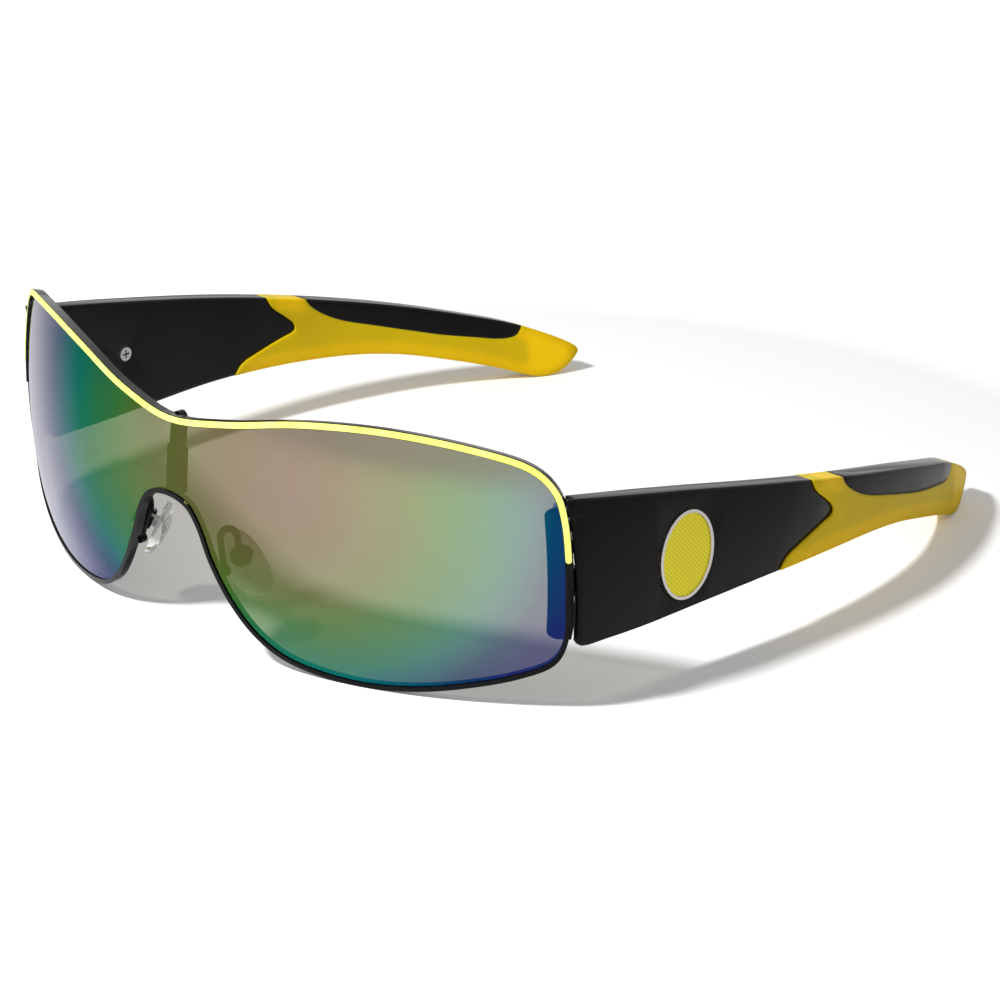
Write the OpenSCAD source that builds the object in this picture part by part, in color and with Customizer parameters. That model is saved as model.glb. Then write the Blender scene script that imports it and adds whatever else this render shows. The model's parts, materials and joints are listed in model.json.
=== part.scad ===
// Shield sunglasses: one mirrored lens in a metal rim, wire nose pads, wide temples with rubber ends.
// X runs across the face, Y from the lens back to the temple tips and Z up. The glasses stand on the
// lower rim and on the heels of both temples. Each right-hand piece is mirrored to make the left one.

/* [Lens] */
// Radius of the sphere that the lens's outer face lies on
lens_r = 103; // [95:1:125]
// Thickness of the lens
lens_t = 0.9; // [0.8:0.1:1.5]
// Half of the lens's width, seen from the front
lens_half_w = 66.2; // [61:0.2:70]
// Height of the lens from its lowest to its highest point
lens_h = 42.8; // [38:0.2:48]
// Height of the level where the lens stands upright above its lowest point
lens_drop = 23.4; // [21:0.2:25]
// Height of the nose arch above the lens's lowest point
arch_h = 25.4; // [22:0.2:27]

/* [Rim] */
// Width of the upper rim's face
rim_w = 1.25; // [1.2:0.05:1.8]
// How far the upper rim stands in front of the lens
rim_front = 0.5; // [0.45:0.05:1.2]
// Width of the lower rim's face
low_rim_w = 0.8; // [0.75:0.05:1.3]
// How far the lower rim stands in front of the lens
low_rim_front = 0.25; // [0.2:0.05:0.8]
// How far the whole rim stands behind the lens
rim_back = 0.35; // [0.3:0.05:1]
// Depth of the groove that holds the lens's edge
groove_d = 0.45; // [0.3:0.05:0.5]
// Width of the enamel stripe in the upper rim's face
stripe_w = 1; // [0.6:0.05:1.05]
// Width of the metal left between the stripe and the lens
stripe_in = 0.1; // [0.06:0.01:0.14]
// Depth of the enamel stripe
stripe_t = 0.2; // [0.15:0.05:0.4]
// How far the enamel stripe stands out of the rim's face
stripe_proud = 0.15; // [0.05:0.05:0.25]
// Height of the stripe's lower ends above the upright level of the lens
stripe_end_z = 2.6; // [1.5:0.1:4]
// Depth of the rim's closing joint below the upright level of the lens
split_drop = 1.9; // [1:0.1:3]
// Width of the saw cut in the closing joint
saw_w = 0.12; // [0.06:0.01:0.2]

/* [Bridge] */
// Width of the strut behind the middle of the lens
strut_w = 2.7; // [2.2:0.1:3.6]
// Width of the strut's lower part
strut_low_w = 3.8; // [3:0.1:5]
// Thickness of the strut
strut_t = 1.2; // [0.8:0.1:1.6]
// How far the strut's round head stands above the lens
strut_head = 1.4; // [1.2:0.1:3]

/* [End pieces] */
// Thickness of the end plates behind the lens
plate_t = 1; // [0.8:0.05:1.3]
// Width of the end plates, from the lens's edge inwards
plate_w = 3.9; // [3.4:0.1:5]
// How far the lock plates reach outside the lens's edge
plate_out = 1.25; // [1.2:0.05:1.6]
// How far the end plates above them reach outside the lens's edge
end_out = 1.25; // [1.15:0.05:1.3]
// Height of the end plates' top above the upright level of the lens
plate_up = 10.4; // [9.6:0.1:11.5]
// Depth of the end plates' foot below the upright level of the lens
plate_down = 11.8; // [8:0.1:13]
// Lean of the end plates' inner edge, outwards at the foot
plate_lean = 1.4; // [0:0.1:3]
// Radius of the end plates' corners
plate_corner_r = 1.4; // [0.6:0.1:2]
// Radius of the closing screw's shank
lock_r = 0.6; // [0.5:0.05:0.7]
// Height of each half of the closing block
lock_h = 2; // [1.6:0.1:2.2]

/* [Hinge] */
// Outer radius of the hinge barrels
barrel_r = 1.3; // [1.1:0.05:1.5]
// Height of one hinge barrel
barrel_h = 1.7; // [1.2:0.05:1.8]
// Radius of the hinge screw's shank
pin_r = 0.65; // [0.5:0.05:0.75]
// Thickness of the hinge leaf
leaf_t = 1; // [0.7:0.05:1.2]
// Length of the hinge leaf inside the temple
leaf_len = 21; // [18:0.5:26]

/* [Temples] */
// Length of the temple from its front edge to its tip
temple_len = 122; // [112:1:132]
// Height of the temple's front corner above the floor
temple_top_z = 36.8; // [35:0.1:40]
// Thickness of the temple's front panel
temple_t = 3.2; // [3:0.1:4]
// How far the ear sleeve stands proud of the panel on each side
sleeve_proud = 0.3; // [0.2:0.05:0.5]
// How far the temple's outer face stands outside the lens's edge
temple_out = 1.2; // [1:0.1:2]
// How far the temple's tip is bowed in towards the head
temple_bow = 22.5; // [16:0.5:26]
// Thickness of the stiff tail inside the ear sleeve
tail_t = 1; // [0.8:0.1:1.4]
// Margin of rubber above and below the tail
tail_margin = 2.2; // [1.6:0.1:3]
// Radius of the temple screw's head
screw_head_r = 1.3; // [1:0.05:1.5]

/* [Badge] */
// Width of the oval badge
badge_w = 12.1; // [9:0.1:13]
// Height of the oval badge
badge_h = 15.4; // [11:0.1:16]
// Width of the badge's border
badge_border = 0.6; // [0.4:0.05:1]
// How far the badge's border stands out
badge_proud = 0.6; // [0.3:0.05:0.8]

/* [Nose pads] */
// Length of a nose pad
pad_len = 12.2; // [11:0.2:14]
// Width of a nose pad
pad_w = 6.6; // [6:0.1:8]
// Thickness of a nose pad
pad_t = 2.2; // [1.6:0.1:2.6]
// Distance of the pad boxes from the middle of the face
pad_x = 11.6; // [10:0.1:13]
// Distance of the pad boxes behind the lens's foremost point
pad_y = 5.5; // [4.5:0.1:8]
// Depth of the pad boxes below the upright level of the lens
pad_drop = 7.5; // [5:0.1:9]
// Radius of the pad arm's wire
wire_r = 0.55; // [0.45:0.05:0.65]
// Radius of the round pad box
box_r = 1.7; // [1.5:0.05:2]
// Radius of the pad screw's shank
pad_screw_r = 0.45; // [0.35:0.05:0.55]

/* [Hidden] */
$fn = 48;

// Fits and clearances
seat_gap = 0.03;
run_gap = 0.05;
swing_gap = 0.3;
// One overrun for every cut
over = 5;
// Fineness of the large spheres
sphere_fn = 180;

// Heights and radii of the lens and the rim
front_r = lens_r + rim_front;
back_r = lens_r - lens_t - rim_back;
plate_back_r = back_r - plate_t;
low_front_r = lens_r + low_rim_front;
drop_angle = asin(lens_drop / lens_r) + low_rim_w / lens_r * 180 / PI;
z_c = low_front_r * sin(drop_angle);
z_low = z_c - lens_drop;
split_z = z_c - split_drop;
// The lens's outer face has its foremost point at Y = 0, and the sphere's centre is behind it
sphere_centre = [0, lens_r, z_c];
// Depth that the cuts through the rim reach, behind the lens's foremost point
cut_depth_share = 0.4;
cut_depth = lens_r * cut_depth_share;

// Half outline of the lens, from the middle of the brow round to the lowest point, as shares of its
// half width and of its height
brow_shares = [
  [0, 0.866], [0.18, 0.906], [0.41, 0.978], [0.62, 1], [0.81, 0.972], [0.919, 0.922], [0.965, 0.85],
  [0.985, 0.76], [0.998, 0.61], [1, 0.45], [0.993, 0.285], [0.966, 0.19], [0.9, 0.127],
  [0.8, 0.07], [0.68, 0.022], [0.55, 0]
];
// The rest of the half outline, up to the middle of the arch, as shares of the half width and the arch
arch_shares = [
  [0.43, 0.018], [0.335, 0.075], [0.262, 0.195], [0.2, 0.385], [0.148, 0.62], [0.113, 0.83],
  [0.072, 0.955], [0, 1]
];
outline_right = concat(
  [for (s = brow_shares) [s.x * lens_half_w, s.y * lens_h]],
  [for (s = arch_shares) [s.x * lens_half_w, s.y * arch_h]]
);
outline_count = len(outline_right);
outline_left = [for (i = [outline_count - 2:-1:1]) [-outline_right[i].x, outline_right[i].y]];
outline = concat(outline_right, outline_left);

// A smooth curve through points, even where they lie unevenly
function knot(a, b) = sqrt(norm(b - a));
function mix(a, b, ta, tb, t) = ((tb - t) * a + (t - ta) * b) / (tb - ta);
function curve_at(p0, p1, p2, p3, s) =
  let (
    t1 = knot(p0, p1), t2 = t1 + knot(p1, p2), t3 = t2 + knot(p2, p3), t = t1 + s * (t2 - t1),
    a1 = mix(p0, p1, 0, t1, t), a2 = mix(p1, p2, t1, t2, t), a3 = mix(p2, p3, t2, t3, t),
    b1 = mix(a1, a2, 0, t2, t), b2 = mix(a2, a3, t1, t3, t)
  )
  mix(b1, b2, t1, t2, t);
function closed_curve(pts, steps) =
  let (n = len(pts))
  [for (i = [0:n - 1], k = [0:steps - 1])
    curve_at(pts[(i + n - 1) % n], pts[i], pts[(i + 1) % n], pts[(i + 2) % n], k / steps)];
function open_curve(pts, steps) =
  let (n = len(pts), all = concat([2 * pts[0] - pts[1]], pts, [2 * pts[n - 1] - pts[n - 2]]))
  concat(
    [for (i = [0:n - 2], k = [0:steps - 1])
      curve_at(all[i], all[i + 1], all[i + 2], all[i + 3], k / steps)],
    [pts[n - 1]]
  );

// Directions from the sphere's centre to the lens's outline, and to outlines w outside it
function unit(v) = v / norm(v);
function sphere_dir(x, z) = [x, -sqrt(lens_r * lens_r - x * x - z * z), z] / lens_r;
outline_steps = 5;
ring_dirs = [for (p = closed_curve(outline, outline_steps)) sphere_dir(p.x, p.y - lens_drop)];
ring_count = len(ring_dirs);
function ring_out(w) =
  [for (i = [0:ring_count - 1])
    let (
      d = ring_dirs[i],
      along = unit(ring_dirs[(i + 1) % ring_count] - ring_dirs[(i + ring_count - 1) % ring_count])
    )
    unit(d * lens_r + cross(d, along) * w)];
// Half width of such an outline at height z over the upright level, on the lens's outer sides
side_share = 0.8;
function side_x(z, w) =
  let (dirs = [for (d = ring_out(w)) if (d.x * lens_r > side_share * lens_half_w) d])
  lookup(z, [for (d = dirs) [d.z, d.x] * lens_r]);

// A solid whose walls run from the sphere's centre through an outline w outside the lens's outline
module radial_cut(w) {
  translate([0, cut_depth, z_c]) rotate([90, 0, 0])
    linear_extrude(height = cut_depth + over, scale = (lens_r + over) / (lens_r - cut_depth))
      polygon([for (d = ring_out(w)) [d.x, d.z] * (lens_r - cut_depth) / -d.y]);
}

module shell(r_out, r_in) {
  translate(sphere_centre) difference() {
    sphere(r_out, $fn = sphere_fn);
    sphere(r_in, $fn = sphere_fn);
  }
}

module ball(r) {
  translate(sphere_centre) sphere(r, $fn = sphere_fn);
}

// A slab of the whole width between two heights
module slab(z0, z1) {
  translate([-2 * lens_half_w, -lens_r, z0]) cube([4 * lens_half_w, 3 * lens_r, z1 - z0]);
}

// Turns a piece that points along Z into direction d
module pointing(d) {
  rotate([0, acos(d.z), atan2(d.y, d.x)]) children();
}

// A side view, with Y to the right and Z up, drawn out along X
module side_view(x0, x1) {
  translate([x0, 0, 0]) rotate([90, 0, 90]) linear_extrude(height = x1 - x0) children();
}

// Rim
brow_z = z_low + brow_shares[0].y * lens_h;
arch_z = z_low + arch_h;

module rim_band(w, r_out) {
  difference() {
    intersection() {
      shell(r_out, back_r);
      radial_cut(w);
    }
    radial_cut(0);
    intersection() {
      shell(lens_r + seat_gap, lens_r - lens_t - seat_gap);
      radial_cut(groove_d);
    }
  }
}

// Closes the upper rim's two ends off from the lower rim, which also goes over the nose
module nose_block() {
  translate([-lens_half_w / 2, -lens_r, -over])
    cube([lens_half_w, 3 * lens_r, (arch_z + brow_z) / 2 + over]);
}

module above_joint() {
  difference() {
    slab(split_z + saw_w / 2, z_c + lens_h);
    nose_block();
  }
}

module below_joint() {
  slab(-over, split_z - saw_w / 2);
  nose_block();
}

stripe_mid = stripe_in + stripe_w / 2;
stripe_end_x = side_x(stripe_end_z, stripe_mid);
stripe_dir = sphere_dir(stripe_end_x, stripe_end_z);

module stripe_path() {
  intersection() {
    difference() {
      radial_cut(stripe_in + stripe_w);
      radial_cut(stripe_in);
    }
    slab(z_c + stripe_end_z, z_c + lens_h);
  }
  for (side = [1, -1])
    translate(sphere_centre) pointing([side * stripe_dir.x, stripe_dir.y, stripe_dir.z])
      translate([0, 0, lens_r - over]) cylinder(r = stripe_w / 2, h = 2 * over);
}

module stripe() {
  intersection() {
    shell(front_r + stripe_proud, front_r - stripe_t);
    stripe_path();
  }
}

module lens_solid() {
  intersection() {
    shell(lens_r, lens_r - lens_t);
    radial_cut(groove_d - seat_gap);
  }
}

// Strut behind the middle of the lens

strut_step_z = (brow_z + arch_z) / 2 + strut_w / 2;
strut_head_z = brow_z + strut_head - strut_w / 2;
strut_foot_z = arch_z - low_rim_w / 2;

module strut() {
  intersection() {
    shell(back_r, back_r - strut_t);
    rotate([90, 0, 0]) translate([0, 0, -cut_depth]) linear_extrude(height = cut_depth + over) {
      translate([-strut_w / 2, strut_step_z]) square([strut_w, strut_head_z - strut_step_z]);
      translate([0, strut_head_z]) circle(r = strut_w / 2);
      translate([-strut_low_w / 2, strut_foot_z]) square([strut_low_w, strut_step_z - strut_foot_z]);
    }
  }
}

// Hinge: the axis lies inside the temple, just clear of the end plate

barrel_count = 5;
barrel_gap = 0.1;
barrel_step = barrel_h + barrel_gap;
temple_front_x = lens_half_w + temple_out;
lip_t = 1.3;
hinge_x = temple_front_x - temple_t - barrel_r - swing_gap - run_gap;
hinge_z = split_z + saw_w / 2 + lock_h + swing_gap;
hinge_top_z = hinge_z + barrel_count * barrel_step - barrel_gap;
hinge_reach = max(abs(hinge_top_z - z_c), abs(hinge_z - z_c));
hinge_free_r = plate_back_r - barrel_r - swing_gap;
hinge_y = lens_r - sqrt(pow(hinge_free_r, 2) - pow(hinge_x, 2) - pow(hinge_reach, 2));
web_angle = atan2(hinge_y - lens_r, hinge_x);
pin_head_r = barrel_r - run_gap;
pin_head_h = 0.6;
screw_slot_w = 0.3;
screw_slot_d = 0.3;

module at_hinge() {
  translate([hinge_x, hinge_y, 0]) children();
}

// Barrels from the first, every second one
module barrels(first) {
  for (i = [first:2:barrel_count - 1])
    at_hinge() translate([0, 0, hinge_z + i * barrel_step]) cylinder(r = barrel_r, h = barrel_h);
}

// Webs that join the end piece's barrels to its plate
web_share = 0.75;
module barrel_webs() {
  for (i = [0:2:barrel_count - 1])
    at_hinge() rotate(web_angle) translate([0, -barrel_r * web_share, hinge_z + i * barrel_step])
      cube([barrel_r + swing_gap + plate_t + over / 2, 2 * barrel_r * web_share, barrel_h]);
}

hinge_h = hinge_top_z - hinge_z;
module pin_hole(gap) {
  at_hinge() translate([0, 0, hinge_z - over]) cylinder(r = pin_r + gap, h = hinge_h + 2 * over);
}

module hinge_screw() {
  difference() {
    at_hinge() {
      translate([0, 0, hinge_z]) cylinder(r = pin_r, h = hinge_h);
      translate([0, 0, hinge_top_z]) cylinder(r = pin_head_r, h = pin_head_h);
    }
    at_hinge() translate([-over, -screw_slot_w / 2, hinge_top_z + pin_head_h - screw_slot_d])
      cube([2 * over, screw_slot_w, over]);
  }
}

// End plates behind the lens, and the block that closes the rim

plate_in_x = lens_half_w - plate_w;

plate_h = plate_up + plate_down;
plate_steps = 12;
// How far the middle of the plates' inner edge stands back towards the lens's edge
plate_sag = 0.75;
// The inner edge bows outwards like the lens's edge beside it
function plate_edge(z) = plate_sag * (1 - pow(2 * z / plate_h + 1, 2));

module plate_face() {
  translate([plate_in_x, plate_up]) rotate(plate_lean)
    polygon(concat(
      [for (k = [0:plate_steps]) let (a = 90 + 90 * k / plate_steps)
        [plate_corner_r * (1 + cos(a)), plate_corner_r * (sin(a) - 1)]],
      [for (k = [1:plate_steps - 1])
        let (z = -plate_corner_r - (plate_h - 2 * plate_corner_r) * k / plate_steps)
        [plate_edge(z) - plate_edge(-plate_corner_r), z]],
      [for (k = [0:plate_steps]) let (a = 180 + 90 * k / plate_steps)
        [plate_corner_r * (1 + cos(a)), plate_corner_r * (1 + sin(a)) - plate_h]],
      [[plate_w + over, -plate_h], [plate_w + over, 0]]
    ));
}

module plate(reach) {
  intersection() {
    shell(back_r, plate_back_r);
    radial_cut(reach);
    translate([0, cut_depth, z_c]) rotate([90, 0, 0]) linear_extrude(height = cut_depth) plate_face();
  }
}

lock_w = 2.2;
lock_in_x = plate_in_x + (plate_up + split_drop) * tan(plate_lean) + plate_sag + seat_gap;
lock_x = lock_in_x + lock_w / 2;
lock_y = lens_r - sqrt(pow(plate_back_r, 2) - pow(lock_x, 2)) + lock_w / 2;
lock_head_r = 1.05;
lock_head_h = 0.7;

module lock_block(z0, z1) {
  intersection() {
    translate([lock_in_x, 0, z0]) cube([lock_w, lock_y + lock_w / 2, z1 - z0]);
    ball(back_r - seat_gap);
  }
}

module lock_hole() {
  translate([lock_x, lock_y, split_z - over]) cylinder(r = lock_r + seat_gap, h = over + lock_h);
}

// Room for the lock screw's head, cut into the back of the plate below the block
module lock_head_room() {
  head_z = split_z - saw_w / 2 - lock_h - lock_head_h;
  translate([lock_x, lock_y, head_z - run_gap])
    cylinder(r = lock_head_r + run_gap, h = lock_head_h + run_gap);
}

module end_piece() {
  difference() {
    union() {
      intersection() {
        plate(end_out);
        slab(split_z + saw_w / 2, z_c + lens_h);
      }
      lock_block(split_z + saw_w / 2, split_z + saw_w / 2 + lock_h);
      intersection() {
        union() {
          barrels(0);
          barrel_webs();
        }
        ball(back_r - seat_gap);
      }
    }
    pin_hole(seat_gap);
    lock_hole();
  }
}

module lock_plate() {
  difference() {
    union() {
      intersection() {
        plate(plate_out);
        slab(z_c - lens_h, split_z - saw_w / 2);
      }
      lock_block(split_z - saw_w / 2 - lock_h, split_z - saw_w / 2);
    }
    lock_hole();
    lock_head_room();
  }
}

module lock_screw() {
  bottom_z = split_z - saw_w / 2 - lock_h;
  difference() {
    translate([lock_x, lock_y, 0]) {
      translate([0, 0, bottom_z]) cylinder(r = lock_r, h = 2 * lock_h - screw_slot_d);
      translate([0, 0, bottom_z - lock_head_h]) cylinder(r = lock_head_r, h = lock_head_h);
    }
    translate([lock_x - over, lock_y - screw_slot_w / 2, bottom_z - lock_head_h - over])
      cube([2 * over, screw_slot_w, over + screw_slot_d]);
  }
}

// Temples

temple_y = hinge_y - swing_gap * 3;
temple_step_y = max(hinge_y + barrel_r, lock_y + lock_w / 2) + swing_gap;
splay_share = 0.045;
bend_share = 0.28;
bend_steps = 16;
bend_y = temple_y + temple_len * bend_share;
tip_y = temple_y + temple_len;
// X of the temple's outer face at a place along Y
function face_x(y) =
  temple_front_x + splay_share * (y - temple_y)
  - temple_bow * pow(max(0, y - bend_y) / (tip_y - bend_y), 2);
strip_ys = concat(
  [temple_y - over],
  [for (k = [0:bend_steps]) bend_y + (tip_y - bend_y) * k / bend_steps],
  [tip_y + over]
);

// Over its front end the outer face curves in to the rim
nose_in = 0.8;
nose_len = 16.5;
nose_lead = 2.4;
nose_steps = 8;
nose_step = (nose_len + nose_lead) / nose_steps;
function nose_depth(y) = nose_in * pow(max(0, temple_y + nose_len - y) / nose_len, 2);
panel_ys = concat(
  [for (k = [0:nose_steps]) temple_y - nose_lead + nose_step * k],
  [for (y = strip_ys) if (y > temple_y + nose_len) y]
);

module panel_strip() {
  linear_extrude(height = temple_top_z + over)
    polygon(concat(
      [for (y = panel_ys) [face_x(y) - nose_depth(y), y]],
      [for (i = [len(panel_ys) - 1:-1:0]) [face_x(panel_ys[i]) - temple_t, panel_ys[i]]]
    ));
}

// A strip that follows the temple's outer face, between two depths below it
module strip(d_out, d_in) {
  linear_extrude(height = temple_top_z + over)
    polygon(concat(
      [for (y = strip_ys) [face_x(y) - d_out, y]],
      [for (i = [len(strip_ys) - 1:-1:0]) [face_x(strip_ys[i]) - d_in, strip_ys[i]]]
    ));
}

// Side view of the temple, as shares of its length and of its front corner's height
top_shares = [
  [-0.016, 1], [0.12, 0.922], [0.265, 0.832], [0.42, 0.728], [0.52, 0.656], [0.62, 0.58],
  [0.72, 0.496], [0.82, 0.4], [0.9, 0.316], [0.96, 0.228], [0.988, 0.176], [0.997, 0.152],
  [1, 0.13], [0.996, 0.1], [0.985, 0.054], [0.97, 0.018]
];
under_shares = [
  [0.95, 0], [0.925, 0.014], [0.87, 0.083], [0.78, 0.175], [0.7, 0.246], [0.62, 0.291],
  [0.53, 0.317], [0.44, 0.33], [0.34, 0.334], [0.24, 0.325], [0.14, 0.312], [0.06, 0.309],
  [0.014, 0.311], [0.007, 0.33]
];
front_shares = [[0.008, 0.5], [0.002, 0.68], [-0.006, 0.86]];
// Rear edge of the front panel, from the top to the underside
panel_shares = [
  [0.448, 0.72], [0.46, 0.65], [0.486, 0.583], [0.503, 0.53], [0.503, 0.498], [0.478, 0.472],
  [0.435, 0.428], [0.4, 0.385], [0.385, 0.33]
];
// Lower edge of the black strip on top of the ear sleeve
land_shares = [
  [0.521, 0.67], [0.532, 0.615], [0.56, 0.548], [0.599, 0.489], [0.65, 0.437], [0.71, 0.377],
  [0.77, 0.32], [0.835, 0.272], [0.875, 0.247], [0.898, 0.256], [0.906, 0.295]
];
curve_steps = 3;

function side_points(shares) = [for (s = shares) [temple_y + s.x * temple_len, s.y * temple_top_z]];
top_line = open_curve(side_points(top_shares), curve_steps);
under_line = open_curve(side_points(under_shares), curve_steps);
panel_line = open_curve(side_points(panel_shares), curve_steps);
land_line = open_curve(side_points(land_shares), curve_steps);

module temple_view() {
  polygon(concat(top_line, under_line, side_points(front_shares)));
}

// Everything in front of the panel's rear edge
module panel_zone() {
  polygon(concat(
    [[temple_y - over, temple_top_z + over], [panel_line[0].x, temple_top_z + over]],
    panel_line,
    [[panel_line[len(panel_line) - 1].x, -over], [temple_y - over, -over]]
  ));
}

// Everything above the black strip's lower edge
module land_zone() {
  polygon(concat(
    [[land_line[0].x, temple_top_z + over]],
    land_line,
    [[land_line[len(land_line) - 1].x, temple_top_z + over]]
  ));
}

// The tail follows the temple's edges, its margin inside them
tail_first_share = 0.36;
tail_last_share = 0.93;
function tail_edge(line, step) =
  [for (p = line)
    if (p.x > temple_y + tail_first_share * temple_len && p.x < temple_y + tail_last_share * temple_len)
      [p.x, p.y + step]];

module tail_view() {
  polygon(concat(tail_edge(top_line, -tail_margin), tail_edge(under_line, tail_margin)));
}

leaf_depth = (temple_t - leaf_t) / 2;
leaf_front_y = temple_step_y + swing_gap;
leaf_back_y = leaf_front_y + leaf_len;
leaf_low_z = split_z - lock_h;
// The temple screw's place on the leaf, and its shank's radius over its head's
screw_place_share = 0.82;
screw_shank_share = 0.55;
screw_y = leaf_front_y + leaf_len * screw_place_share;
screw_z = leaf_low_z + screw_head_r * 2;
screw_r = screw_head_r * screw_shank_share;
screw_head_h = leaf_depth / 2;
// The badge's centre along the temple and up it
badge_y_share = 0.196;
badge_z_share = 0.58;
badge_y = temple_y + temple_len * badge_y_share;
badge_z = temple_top_z * badge_z_share;
badge_seat = 0.25;

// Side view of the leaf, or of the pocket that it slides into from the front
module leaf_view() {
  polygon([
    [leaf_front_y, hinge_z], [leaf_front_y, hinge_top_z], [leaf_front_y + leaf_len / 4, hinge_top_z],
    [leaf_back_y, screw_z + 2 * screw_head_r], [leaf_back_y, leaf_low_z],
    [leaf_front_y + leaf_len / 2, leaf_low_z]
  ]);
}

module pocket_view() {
  polygon([
    [leaf_front_y - over, hinge_top_z + seat_gap],
    [leaf_front_y + leaf_len / 4 + seat_gap, hinge_top_z + seat_gap],
    [leaf_back_y + seat_gap, screw_z + 2 * screw_head_r + seat_gap],
    [leaf_back_y + seat_gap, leaf_low_z - seat_gap], [leaf_front_y - over, leaf_low_z - seat_gap]
  ]);
}

// Arm from the leaf's front end to its barrels
module leaf_necks() {
  leaf_x = face_x(leaf_front_y) - temple_t / 2;
  neck = [leaf_x - hinge_x, leaf_front_y + leaf_t / 2 - hinge_y];
  for (i = [1:2:barrel_count - 1])
    at_hinge() rotate(atan2(neck.y, neck.x)) translate([0, -leaf_t / 2, hinge_z + i * barrel_step])
      cube([norm(neck), leaf_t, barrel_h]);
}

module hinge_leaf() {
  difference() {
    union() {
      intersection() {
        strip(leaf_depth, leaf_depth + leaf_t);
        side_view(hinge_x, hinge_x + 2 * over) leaf_view();
      }
      barrels(1);
      leaf_necks();
    }
    pin_hole(run_gap);
    temple_screw_hole(screw_r + seat_gap);
  }
}

module temple_screw_hole(r) {
  translate([hinge_x, screw_y, screw_z]) rotate([0, 90, 0]) cylinder(r = r, h = 2 * over);
}

// Room in the panel for the leaf and for its necks
neck_room_y = leaf_front_y + 2 * barrel_r * web_share;
module leaf_pocket() {
  intersection() {
    strip(leaf_depth - seat_gap, leaf_depth + leaf_t + seat_gap);
    side_view(hinge_x, hinge_x + 2 * over) pocket_view();
  }
  intersection() {
    strip(leaf_depth - seat_gap, temple_t + over);
    translate([hinge_x - over, temple_step_y - swing_gap, hinge_z - swing_gap])
      cube([3 * over, neck_room_y - temple_step_y + swing_gap, hinge_h + 2 * swing_gap]);
  }
}

inner_x = face_x(screw_y) - temple_t;
screw_reach = temple_t - leaf_depth / 2;

module temple_arm() {
  difference() {
    union() {
      intersection() {
        panel_strip();
        side_view(0, lens_r) intersection() {
          temple_view();
          panel_zone();
        }
      }
      intersection() {
        strip(-sleeve_proud, temple_t + sleeve_proud);
        side_view(0, lens_r) intersection() {
          difference() {
            temple_view();
            panel_zone();
          }
          land_zone();
        }
      }
      tail();
    }
    // The front edge is a lip outside the end plate, and the rest of it stands back, less over the plate
    intersection() {
      strip(lip_t, temple_t + over);
      union() {
        translate([0, temple_y - over, -over])
          cube([lens_r, over + temple_step_y - temple_y, over + z_c + plate_up + swing_gap]);
        translate([0, temple_y - over, -over]) cube([lens_r, over, temple_top_z + 2 * over]);
      }
    }
    leaf_pocket();
    translate([inner_x - over, screw_y, screw_z]) rotate([0, 90, 0])
      cylinder(r = screw_head_r + run_gap, h = over + screw_head_h);
    translate([inner_x, screw_y, screw_z]) rotate([0, 90, 0])
      cylinder(r = screw_r + seat_gap, h = screw_reach + seat_gap);
    intersection() {
      strip(-over, badge_seat);
      side_view(hinge_x, lens_r) badge_oval(0);
    }
  }
}

module tail() {
  intersection() {
    strip((temple_t - tail_t) / 2, (temple_t + tail_t) / 2);
    side_view(0, lens_r) tail_view();
  }
}

module ear_sleeve() {
  difference() {
    intersection() {
      strip(-sleeve_proud, temple_t + sleeve_proud);
      side_view(0, lens_r) difference() {
        temple_view();
        panel_zone();
        land_zone();
      }
    }
    tail();
  }
}

cross_len_share = 1.2;
cross_w_share = 0.24;

module temple_screw() {
  difference() {
    union() {
      translate([inner_x, screw_y, screw_z]) rotate([0, 90, 0])
        cylinder(r = screw_head_r, h = screw_head_h);
      translate([inner_x, screw_y, screw_z]) rotate([0, 90, 0]) cylinder(r = screw_r, h = screw_reach);
    }
    for (turn = [0, 90])
      translate([inner_x, screw_y, screw_z]) rotate([turn, 0, 0])
        cube([screw_head_h, screw_head_r * cross_w_share, screw_head_r * cross_len_share], center = true);
  }
}

// Badge: a plain oval with a raised border
badge_steps = 72;
module badge_oval(inset) {
  polygon([for (k = [0:badge_steps - 1])
    let (a = 360 * k / badge_steps)
    [badge_y + (badge_w / 2 - inset) * cos(a), badge_z + (badge_h / 2 - inset) * sin(a)]]);
}

module badge_frame() {
  intersection() {
    strip(-badge_proud, badge_seat);
    side_view(hinge_x, lens_r) difference() {
      badge_oval(seat_gap);
      badge_oval(badge_border);
    }
  }
}

module badge_field() {
  intersection() {
    strip(-badge_proud / 2, badge_seat);
    side_view(hinge_x, lens_r) badge_oval(badge_border + seat_gap);
  }
}

// Nose pads: the box's centre is the pivot, local X points away from the nose and local Z up the pad

pivot = [pad_x, pad_y, z_c - pad_drop];
pad_splay = 25;
pad_lean = 27;
pad_flare = 28;
pad_low = 1.3;
box_front = 0.9;
slot_half_w = 0.6;
lug_half_t = slot_half_w - run_gap * 2;
lug_r = 1;
slot_end = lug_r + run_gap * 3;
box_back = slot_end + 2 * wire_r + run_gap * 2;
insert_neck = 0.75;
pad_back = box_front + insert_neck;
insert_r = 1.9;
insert_t = 0.6;
pad_head_r = 0.85;
pad_head_h = 0.5;
pad_head_seat = box_r - pad_head_h / 2;

module pad_place() {
  translate(pivot) rotate([0, 0, -pad_splay]) rotate([pad_lean, 0, 0]) rotate([0, -pad_flare, 0])
    children();
}

pad_steps = 48;
pad_power_share = 0.85;
function swell(v) = sign(v) * pow(abs(v), pad_power_share);

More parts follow.
